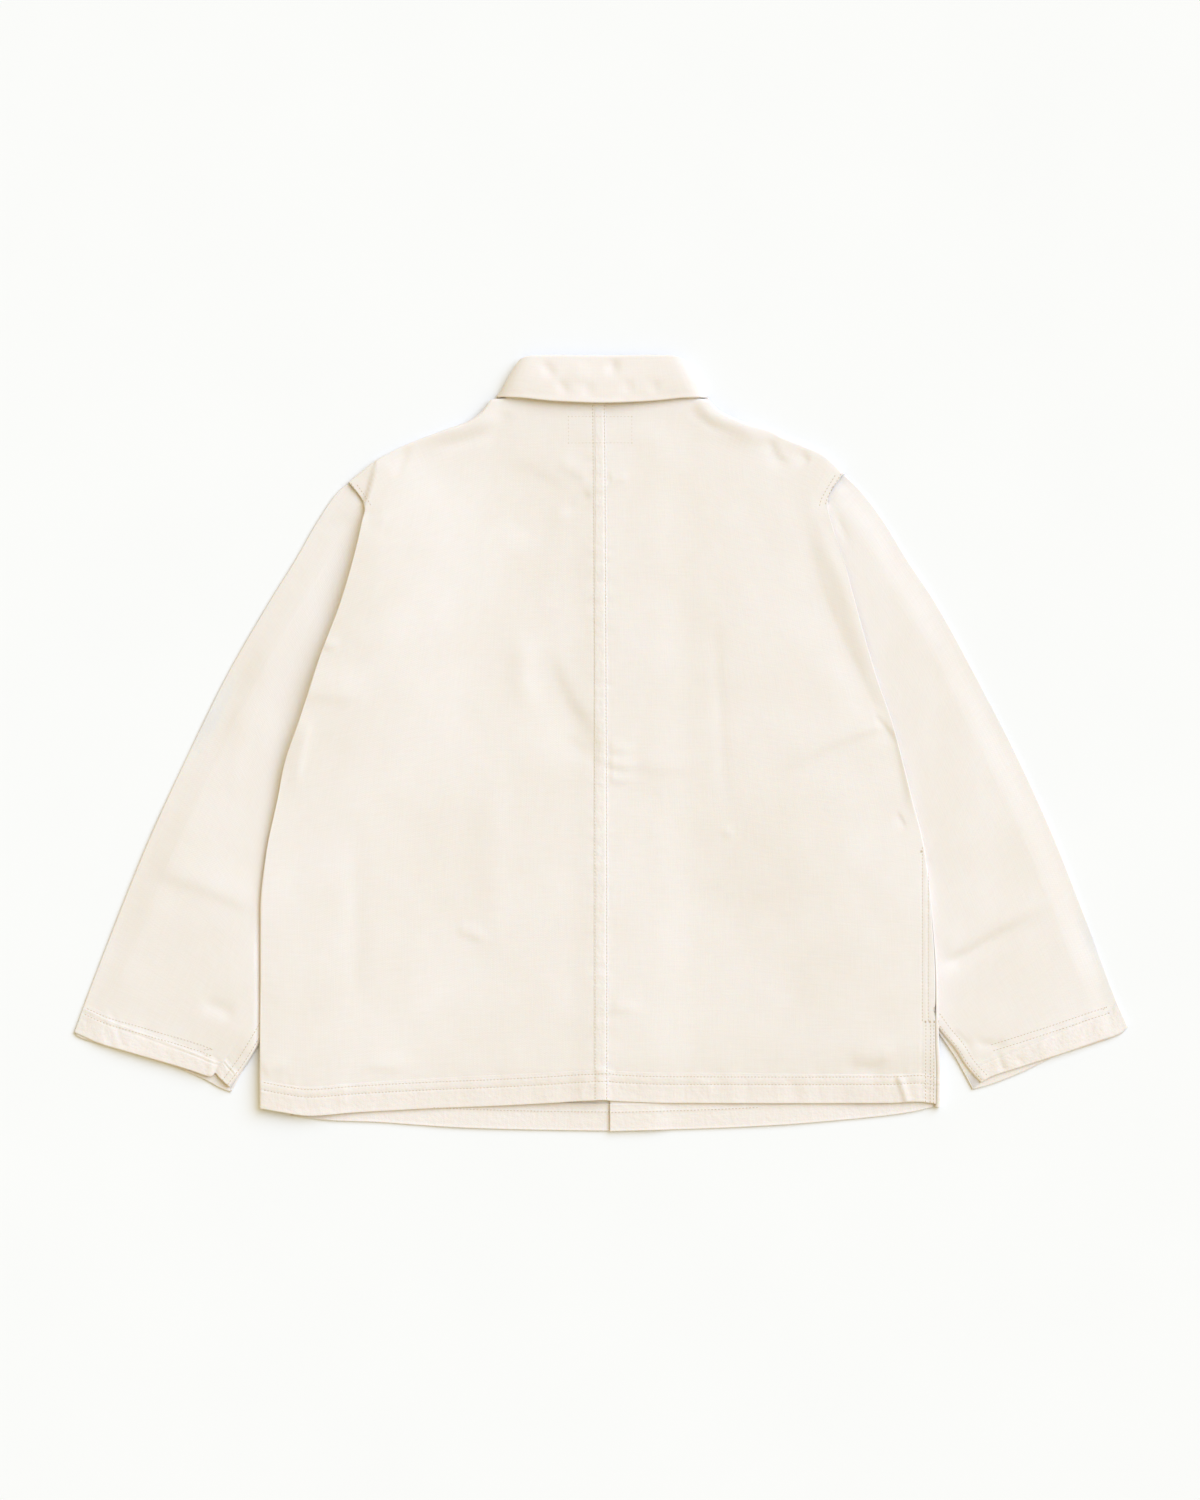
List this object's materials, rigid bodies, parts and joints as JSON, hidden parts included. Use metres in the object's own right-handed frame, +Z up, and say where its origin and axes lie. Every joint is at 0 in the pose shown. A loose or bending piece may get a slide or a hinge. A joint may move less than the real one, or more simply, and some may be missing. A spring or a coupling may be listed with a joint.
{
  "type": "work overshirt",
  "caption": "Long-sleeved cotton work overshirt laid flat on its front, with a turned-down collar, set-in sleeves, turned hems and in-seam side pockets.",
  "frame": {"origin": "on the floor under the middle of the laid garment's bounding box", "axes": "+Y towards the collar, +X towards the wearer's right sleeve, +Z up from the floor through the back"},
  "size_m": [1.001, 0.7366, 0.0128],
  "materials": {
    "twill": "matte cotton twill, undyed cream",
    "pocketing": "plain cotton pocketing",
    "button": "bone-coloured resin"
  },
  "bodies": {
    "root": {"back_left": "twill", "back_right": "twill", "front_left": "twill", "front_right": "twill", "sleeve_left": "twill", "sleeve_right": "twill", "collar": "twill", "pocket_bag_left": "pocketing", "pocket_bag_right": "pocketing", "button_1": "button", "button_2": "button", "button_3": "button", "button_4": "button", "button_5": "button", "button_6": "button"}
  },
  "joints": []
}
